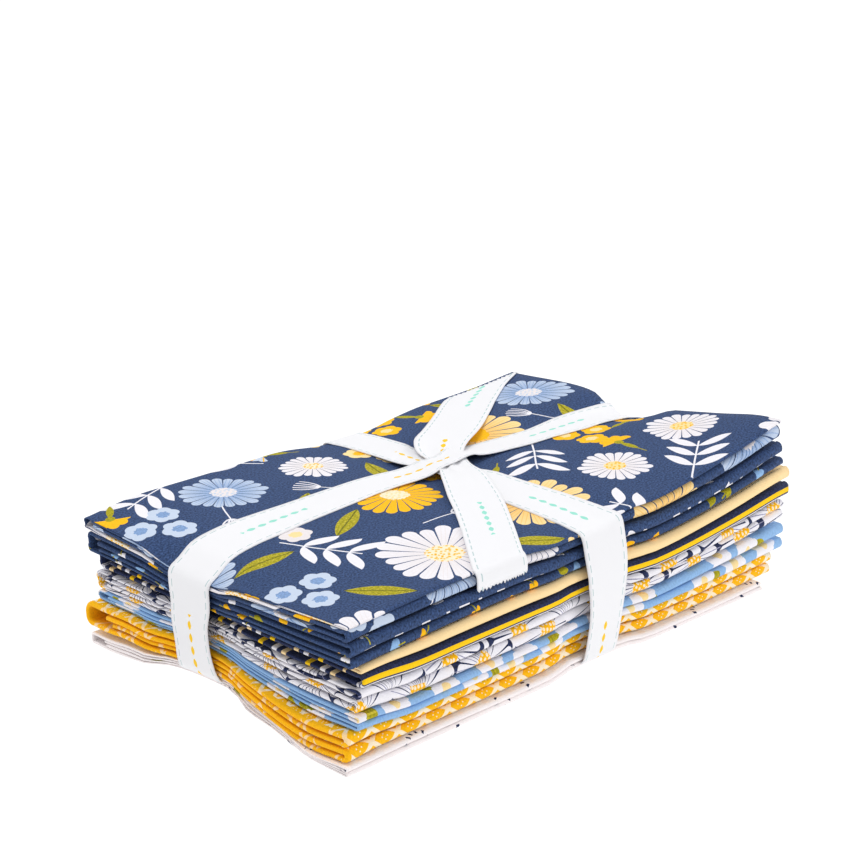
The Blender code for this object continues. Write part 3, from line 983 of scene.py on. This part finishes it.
def blue_daisy(draft, noses):
    """Small white scalloped daisies and olive leaves on sky blue."""
    beside, number = draft.rows(noses, 20.0, 21.0, 7.7, 1.9)
    there = draft.chance(number, 2.2) < 0.82
    inside, aside = draft.leaf(beside, 15.0, 3.2)
    green = draft.mix(aside < 0.3, OLIVE, RIB_LIME)
    draft.paint(there & (inside > 0.0), green)
    inside, out, _, _ = draft.daisy(beside, number, 6.8, 10, 0.45, 0.10)
    draft.paint(there & (inside > 0.0), WHITE)
    draft.paint(there & (out < 1.9), PEACH)


def yellow_trellis(draft, noses):
    """A cream trellis on mustard, with small dots in its diamonds, and painted shade along the fold
    at the left end.
    """
    upper, lower = noses
    tall = (lower - upper) / round((lower - upper) / 6.8)
    x, y, _ = draft.parts(draft.place)
    past = y - (upper + 0.9)
    across, up = (past * 0.12 + x) / 12.0, past / tall
    slants = (across + up, across - up)
    off = [abs(slant - round(slant)) for slant in slants]
    apart = [abs(draft.fraction(slant) - 0.5) for slant in slants]
    spot = draft.vector("SUBTRACT", draft.joined(*apart), (0.10, 0.10, 0.0))
    draft.paint(draft.vector("LENGTH", spot) < 0.035, CREAM)
    wide = draft.noise(draft.place, 0.12, 1.0) * 0.05 + 0.085
    draft.paint(draft.math("MINIMUM", *off) < wide, CREAM)
    # painted shade: along the fold at the left end the cream bars are covered with mustard, unevenly,
    # so that the fold looks darker
    painted_fold_shade = (draft.noise(draft.place, 0.07, 0.0) < 0.54) * 0.6 + 0.4
    draft.paint((x < 2.6) & painted_fold_shade, MUSTARD)


def cream_sprig(draft, noses):
    """Short navy dashes in small arcs on a warm off-white, with a few single leaves."""
    beside, number = draft.rows(noses, 24.0, 31.0, 1.1, 2.3)
    far, angle = draft.polar(beside)
    dash = draft.math("SINE", angle * 13.0) > 0.45
    draft.paint((abs(far - 5.0) < 0.8) & dash & (abs(angle) < 1.3), INK)
    inside, _ = draft.leaf(draft.moved(beside, 14), 11.0, 2.0)
    rare = draft.chance(number, 3.0) < 0.34
    tone = draft.choose(draft.chance(number, 8.0), INK, PERIWINKLE, OLIVE)
    draft.paint(rare & (inside > 0.0), tone)


def white_ribbon():
    """Plain white tape with a fine rib, a dashed line near both edges and stretches of small
    coloured dashes along its middle."""
    draft = Draft("white_ribbon", RIBBON)
    x, y, _ = draft.parts(draft.place)
    dash = draft.fraction(y / 4.6) < 0.62
    draft.paint((abs(abs(x) - 9.6) < 0.22) & dash, THREAD)
    inside, _ = draft.leaf(draft.joined(y % 5.2 - 2.6 + 2.0, x), 4.0, 1.1)
    tone = draft.choose(draft.fraction(y / 148.0), AQUA, SUN)
    draft.paint((draft.fraction(y / 74.0) < 0.42) & (inside > 0.0), tone)
    draft.feed(draft.shader.inputs["Base Color"], draft.colour)
    draft.bumped(draft.ripple(y, 0.5) * 0.8 + draft.ripple(x, 0.35), 0.0001)
    draft.shader.inputs["Roughness"].default_value = 0.6
    draft.shader.inputs["Specular IOR Level"].default_value = 0.3
    return draft.material


def nose_places(cut):
    """Where the middles of a cut's two front folds come on its flat length, in mm."""
    line = fold_line(cut)
    gone = along_cloth(cut, line) / MM
    front = line[:, 0] < -HALF_DEPTH + cut.slide_y + 1.2 * MM
    half = len(gone) // 2
    return [float(gone[part][front[part]].mean()) for part in (slice(half), slice(half, None))]


def evenly(points, count, closed, softer):
    """The same line with its points spaced evenly, and its bends softened."""
    points = np.array(points)
    if closed:
        points = np.vstack([points, points[:1]])
    gone = way_gone(points)
    at = np.linspace(0, gone[-1], count, endpoint=not closed)
    line = np.stack([np.interp(at, gone, points[:, k]) for k in range(points.shape[1])], axis=-1)
    for _ in range(softer):
        before, after = np.roll(line, 1, axis=0), np.roll(line, -1, axis=0)
        softened = (before + 2 * line + after) / 4
        if not closed:
            softened[0], softened[-1] = line[0], line[-1]
        line = softened
    return line


def up_the_side(end_at, ground, bow=0.0):
    """The ribbon's taut way up one side of the stack, with a soft bend over the top edge. It
    stands off by bow halfway up."""
    touched = []
    for index in range(len(CUTS)):
        end = end_at(index)
        floor, height = cut_floor_and_height(index, *ground(end))
        touched += [(abs(end), float(floor)), (abs(end), float(floor + height))]
    high = touched[-1][1]
    path = []
    for degrees in range(-90, 91, 5):
        turn = math.radians(degrees)
        out, up = math.cos(turn), math.sin(turn)
        reach = max(touched, key=lambda point: point[0] * out + point[1] * up)
        away = SIDE_OFF + (BEND_OUT * math.sin(2 * turn) if degrees > 0 else 0.0)
        lift = TAPE_OFF + (away - TAPE_OFF) * abs(out)
        path.append((reach[0] + away * out, reach[1] + lift * up))
    line = evenly(path, SIDE_POINTS, False, 0)
    line[:, 0] += bow * np.sin(math.pi * np.clip(line[:, 1] / high, 0, 1)) ** 1.3
    return [tuple(point) for point in line]


def round_the_stack(places, below, far_side, above, near_side, count, end):
    """One turn's line: along the underside, up one side, back over the top and down the other."""
    path = [(place, float(TAPE_UNDER + below(place))) for place in places] + far_side
    path += [(place, float(above(place) + TAPE_OFF)) for place in reversed(places)]
    path += [(-place, z) for place, z in reversed(near_side)]
    line = evenly(path, count, True, TAPE_SOFTENED)
    # the softened line stays off the top of the cloth
    on_top = (line[:, 1] > TOP_ONLY) & (np.abs(line[:, 0]) < end)
    lowest = above(line[:, 0]) + TAPE_OFF
    line[:, 1] = np.where(on_top, np.maximum(line[:, 1], lowest), line[:, 1])
    return line


def drawn_up(from_knot):
    return KNOT_LIFT * np.exp(-((from_knot / KNOT_REACH) ** 2))


def lengthwise_line(aside):
    def ground(x):
        return x, run_y(x) + aside

    def above(x):
        whole, half = KNOT_BAR_HALF
        bar = KNOT_BAR * (1 - smooth((np.abs(x - KNOT_BAR_X) - whole) / (half - whole)))
        return cloth_top(*ground(x)) + drawn_up(x - RIBBON_X) + bar

    right_y, left_y = run_y(HALF_LENGTH) + aside, np.float64(run_y(-HALF_LENGTH) + aside)
    right = up_the_side(lambda index: right_end(CUTS[index], right_y), ground)
    left = up_the_side(lambda index: float(left_end(index, left_y)), ground, BOW_LEFT)
    return round_the_stack(
        LONG_PLACES, lift_long, right, above, left, LONG_POINTS, HALF_LENGTH - 2.5 * MM)


def crosswise_line(aside):
    def ground(y):
        return run_x(y) + aside, y

    def over(y):
        return TAPE_OVER * band(y - RIBBON_Y)

    def above(y):
        return cloth_top(*ground(y)) + over(y) + drawn_up(y - RIBBON_Y)

    back = up_the_side(lambda index: CUTS[index].slide_y + HALF_DEPTH - PULL_IN, ground)
    front = up_the_side(
        lambda index: CUTS[index].slide_y - HALF_DEPTH + PULL_IN, ground, BOW_FRONT)
    return round_the_stack(
        CROSS_PLACES, lambda y: lift_cross(y) + over(y), back, above, front, CROSS_POINTS,
        HALF_DEPTH - 4 * MM)


def along_table(place, table):
    return np.interp(place / MM, *zip(*table))


def finish_tape(name, places, closed=False):
    """A sheet of ribbon, its flat length measured along its middle."""
    grid = np.stack(places, axis=-1)
    columns = grid.shape[1]
    v = way_gone(grid[:, columns // 2])[:, None] + np.zeros((1, columns))
    u = np.linspace(-0.5, 0.5, columns)[None, :] * RIBBON_WIDTH + 0 * v
    made = new_mesh(name, grid, u, v, closed)
    thicken(made, TAPE)
    return made


def turn_places(line_of, across, half, on_top, underneath):
    """The lines of a turn side by side, as places along and heights, with how wide the turn is,
    how far below its top each point is, and how much it is on the side that faces the camera."""
    lines = np.stack([line_of(c * RIBBON_WIDTH) for c in across], axis=1)
    along, z = lines[..., 0], lines[..., 1]
    wide = np.where(z > TOP_ONLY, along_table(along, on_top), along_table(along, underneath))
    down = np.clip(z.max() - z, 0, None)
    return along, z, wide, down, rise(-along - half, -6, 6)


def lengthwise_ribbon():
    across = np.linspace(-0.5, 0.5, TAPE_ACROSS + 1)
    x, z, wide, down, on_left = turn_places(
        lengthwise_line, across, HALF_LENGTH, LONG_WIDTHS, LONG_UNDER)
    wide = wide - (0.16 * rise(down, 16, 16) + 0.10 * rise(down, 30, 12)) * on_left
    # on the left end it runs a little towards the back on its way down
    low = 1.4 * MM * rise(-z, -36, 10) * on_left
    y = run_y(x) + across[None, :] * RIBBON_WIDTH * wide + low
    return finish_tape("lengthwise_turn", (x, y, z), True)


def crosswise_ribbon():
    across = np.linspace(0.5, -0.5, TAPE_ACROSS + 1)
    y, z, wide, down, on_front = turn_places(
        crosswise_line, across, HALF_DEPTH, CROSS_WIDTHS, CROSS_UNDER)
    wide = wide - 0.20 * rise(down, 10, 30) * on_front
    x = run_x(y) + across[None, :] * RIBBON_WIDTH * wide
    return finish_tape("crosswise_turn", (x, y, z), True)


def tie():
    """The knot and both free ends: one run of ribbon over the two pinched turns, gathered where
    it crosses them and with a saw-toothed cut at either end."""
    dice = random.Random(7)
    line = evenly([(x * MM, y * MM) for x, y in TIE_LINE], TIE_POINTS, False, TIE_SOFTENED)
    run = np.gradient(line, axis=0)
    run /= np.linalg.norm(run, axis=1, keepdims=True)
    aside = np.stack([-run[:, 1], run[:, 0]], axis=-1)
    gone = way_gone(line)
    past = gone - gone[np.argmin(np.abs(line[:, 1] - RIBBON_Y))]
    reach = np.stack([along_table(past, TIE_RIGHT), along_table(past, TIE_LEFT)], axis=-1)
    for _ in range(6):
        reach[1:-1] = (reach[:-2] + 2 * reach[1:-1] + reach[2:]) / 4
    across = np.linspace(0.5, -0.5, END_COLUMNS)
    out = 2 * across[None, :] * np.where(across > 0, reach[:, :1], reach[:, 1:]) * RIBBON_WIDTH
    at = line[:, None] + out[..., None] * aside[:, None]
    # the last rows slide along the ribbon, so that the cuts follow the stack's edges
    share = np.linspace(0, 1, len(line))
    for end, stop, near in ((0, BACK_STOP, (1 - share) ** 8), (-1, FRONT_STOP, share ** 8)):
        slide = (stop - at[end, :, 1]) / run[end, 1]
        at = at + run[:, None] * (near[:, None] * slide[None, :])[..., None]
    x, y = at[..., 0], at[..., 1]
    past, c = past[:, None], 2 * across[None, :]
    pleats = PLEAT * np.cos(c * 7.5 + 0.6) * bump(past, 0, 20)
    free = 0.9 * sum(sinks(x, y)) * rise(np.abs(past), 0, 30)
    lump = KNOT_HEIGHT * bump(past, 0, 10) * (1 - 0.4 * c * c)
    lifted = drawn_up(np.hypot(x - RIBBON_X, y - RIBBON_Y)) + TAPE_OVER * bump(past, 0, 36)
    z = cloth_top(x, y) + 2 * TAPE_OFF + lifted + free + lump + pleats
    grid = np.stack([x, y, z], axis=-1)
    teeth = PINK_DEPTH * np.array(
        [[k % 2 + dice.uniform(-0.35, 0.35) for k in range(END_COLUMNS)] for _ in range(2)])
    grid[0, :, 1] += teeth[0]
    hanging = [grid[-1] - np.array([0, HANG_OUT * (1 - math.exp(-drop)), drop * MM])
               for drop in HANGING]
    hanging[-1][:, 2] -= teeth[1]
    grid = np.concatenate([grid, np.array(hanging)])
    return finish_tape("knot_and_free_ends", np.moveaxis(grid, -1, 0))


def lamp(name, place, aim, size, watts):
    light = bpy.data.lights.new(name, "AREA")
    light.shape = "DISK"
    light.size = size
    light.energy = watts
    made = put_in(name, light)
    made.location = place
    made.rotation_mode = "QUATERNION"
    made.rotation_quaternion = (Vector(aim) - Vector(place)).to_track_quat("-Z", "Y")


def studio():
    """A white table and an even white light all round, with two soft lamps."""
    scene = bpy.context.scene
    scene.view_settings.view_transform = "Standard"
    scene.world = bpy.data.worlds.new("white_studio")
    scene.world.use_nodes = True
    around = scene.world.node_tree.nodes["Background"]
    around.inputs["Color"].default_value = (1, 1, 1, 1)
    around.inputs["Strength"].default_value = LIGHT_AROUND
    bpy.ops.object.select_all(action="DESELECT")
    bpy.ops.mesh.primitive_plane_add(size=TABLE_SIZE, location=(0, 0, 0))
    floor = bpy.context.view_layer.objects.active
    floor.name = "white_table"
    pale = bpy.data.materials.new("white_table")
    pale.use_nodes = True
    shader = pale.node_tree.nodes["Principled BSDF"]
    shader.inputs["Base Color"].default_value = TABLE_GREY
    shader.inputs["Roughness"].default_value = 0.9
    shader.inputs["Specular IOR Level"].default_value = 0.0
    shader.inputs["Emission Color"].default_value = (1, 1, 1, 1)
    shader.inputs["Emission Strength"].default_value = TABLE_GLOW
    floor.data.materials.append(pale)
    lamp("softbox_above", (-0.3, 0.5, 1.6), aim=(0, 0, 0), size=1.2, watts=12.6)
    lamp("softbox_front", (1.1, -1.3, 0.9), aim=(0, 0, 0.03), size=1.0, watts=10)


def camera():
    def towards(turn, high):
        turn, high = math.radians(turn), math.radians(high)
        return Vector((math.sin(turn) * math.cos(high), -math.cos(turn) * math.cos(high),
                       math.sin(high)))

    eye = Vector(CAMERA_ROUND) + CAMERA_AWAY * towards(CAMERA_TURN, CAMERA_HIGH)
    turn = CAMERA_TURN + AIM_TURN
    back = towards(turn, CAMERA_HIGH + AIM_DROP)
    right = Vector((math.cos(math.radians(turn)), math.sin(math.radians(turn)), 0))
    up = back.cross(right)
    lens = bpy.data.cameras.new("camera")
    lens.sensor_width = SENSOR
    lens.lens = FOCAL_PIXELS / PHOTO_PIXELS * SENSOR
    lens.clip_start = 0.05
    made = put_in("camera", lens)
    made.matrix_world = Matrix.Translation(eye) @ Matrix((right, up, back)).transposed().to_4x4()
    bpy.context.scene.camera = made


PRINTS = (
    (cream_sprig, "cream_sprig_cotton", BLUSH),
    (yellow_trellis, "yellow_trellis_cotton", MUSTARD),
    (blue_daisy, "blue_daisy_cotton", SKY),
    (white_daisy, "white_daisy_cotton", WHITE),
    (striped, "striped_cotton", INK),
    (navy_tulip, "navy_tulip_cotton", NAVY),
    (navy_floral, "navy_floral_cotton", NAVY),
)
for place, cut in enumerate(CUTS):
    piece = new_mesh("folded_" + cut.name, *cut_shape(place))
    thicken(piece, cut.ply)
    draw, slot, ground = PRINTS[place]
    draft = Draft(slot, ground)
    draw(draft, nose_places(cut))
    piece.data.materials.append(draft.cotton())
    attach(piece, "root")
    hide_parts("cut_" + cut.name)

tape = white_ribbon()
for piece, node in (
    (lengthwise_ribbon(), "ribbon_lengthwise"),
    (crosswise_ribbon(), "ribbon_crosswise"),
    (tie(), "ribbon_knot_and_ends"),
):
    piece.data.materials.append(tape)
    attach(piece, "root")
    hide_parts(node)

studio()
camera()
